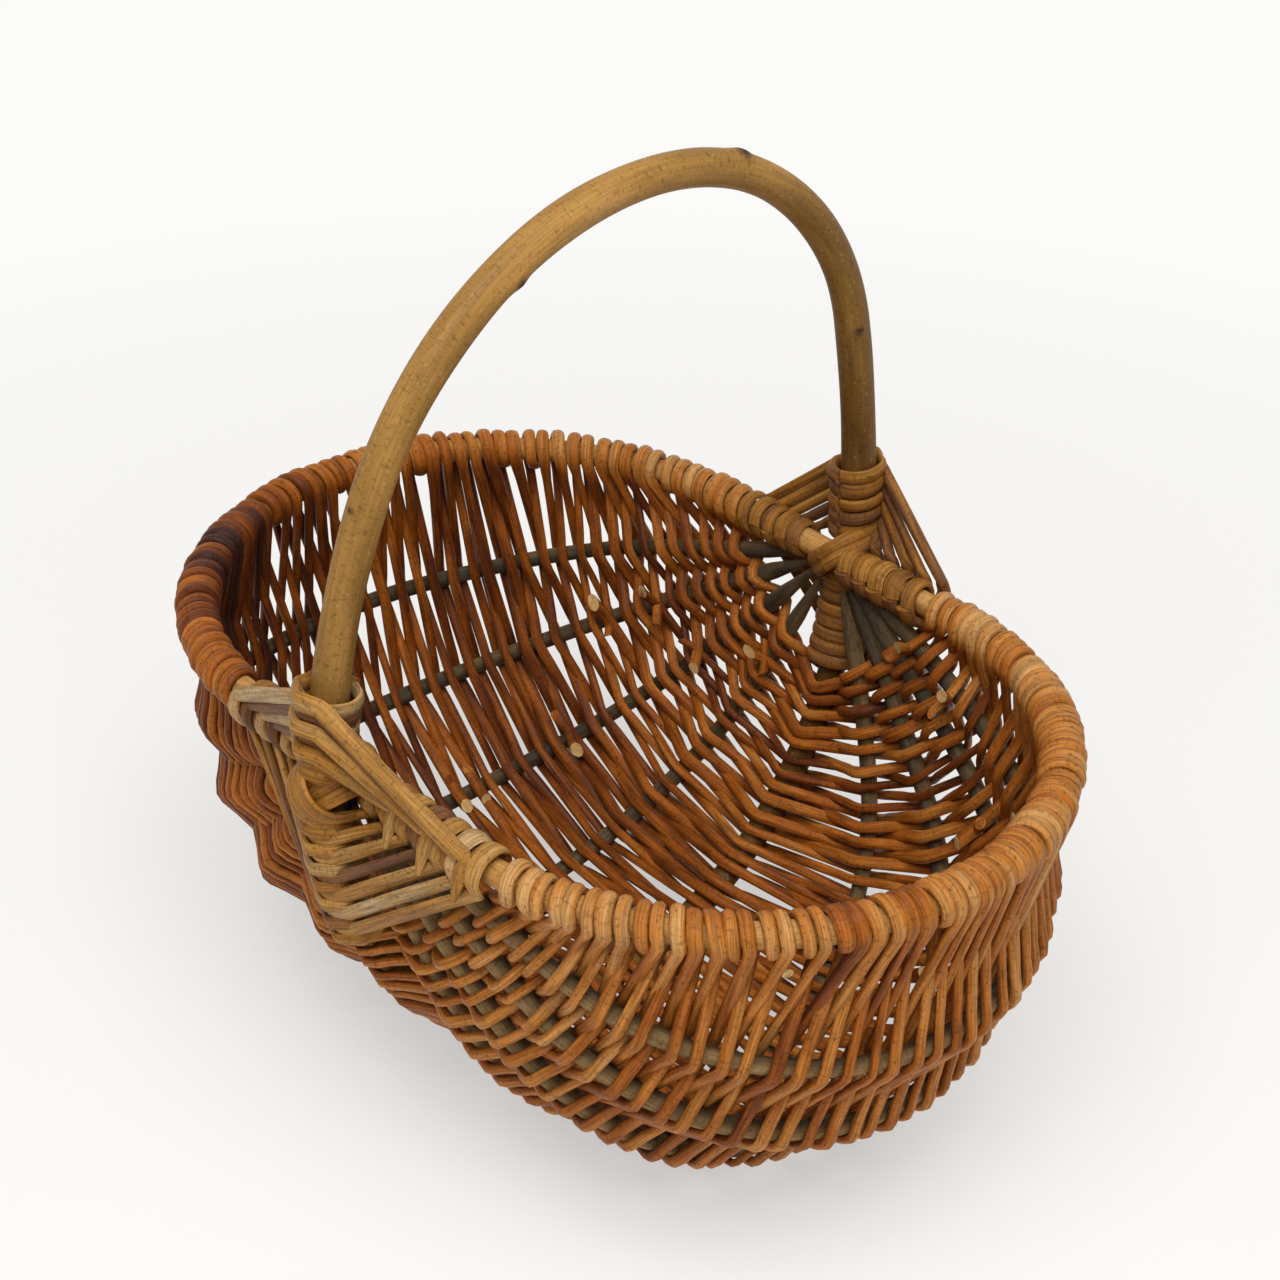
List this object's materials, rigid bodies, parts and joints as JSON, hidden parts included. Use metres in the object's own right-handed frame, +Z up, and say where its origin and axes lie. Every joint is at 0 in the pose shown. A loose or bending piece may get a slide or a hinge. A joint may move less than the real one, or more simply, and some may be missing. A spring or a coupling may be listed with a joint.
{
  "type": "bark basket",
  "caption": "Oval frame basket of unpeeled rods: arched handle, wrapped rim, plain weave over ribs and four-armed lashings.",
  "frame": {"origin": "on the floor under the middle of the basket", "axes": "+X along the length from lobe to lobe, +Y from the front lashing to the rear one, +Z up"},
  "size_m": [0.3432, 0.2555, 0.3208],
  "materials": {
    "handle_bark": "smooth bark, satin",
    "rim_bark": "smooth bark, satin",
    "rib_bark": "grey-olive bark, matt",
    "weaver_bark": "red-brown bark, satin",
    "lashing_strand": "split strand, matt"
  },
  "bodies": {
    "root": {"front_lashing": "lashing_strand", "handle_hoop": "handle_bark", "rear_lashing": "lashing_strand", "rib_left_1": "rib_bark", "rib_left_2": "rib_bark", "rib_left_3": "rib_bark", "rib_left_4": "rib_bark", "rib_right_1": "rib_bark", "rib_right_2": "rib_bark", "rib_right_3": "rib_bark", "rib_right_4": "rib_bark", "rim_hoop": "rim_bark", "weaver_01": "weaver_bark", "weaver_02": "weaver_bark", "weaver_03": "weaver_bark", "weaver_04": "weaver_bark", "weaver_05": "weaver_bark", "weaver_06": "weaver_bark", "weaver_07": "weaver_bark", "weaver_08": "weaver_bark", "weaver_09": "weaver_bark", "weaver_10": "weaver_bark", "weaver_11": "weaver_bark", "weaver_12": "weaver_bark", "weaver_13": "weaver_bark", "weaver_14": "weaver_bark", "weaver_15": "weaver_bark", "weaver_16": "weaver_bark", "weaver_17": "weaver_bark", "weaver_18": "weaver_bark", "weaver_19": "weaver_bark", "weaver_20": "weaver_bark", "weaver_21": "weaver_bark", "weaver_22": "weaver_bark", "weaver_23": "weaver_bark", "weaver_24": "weaver_bark", "weaver_25": "weaver_bark"}
  },
  "joints": []
}
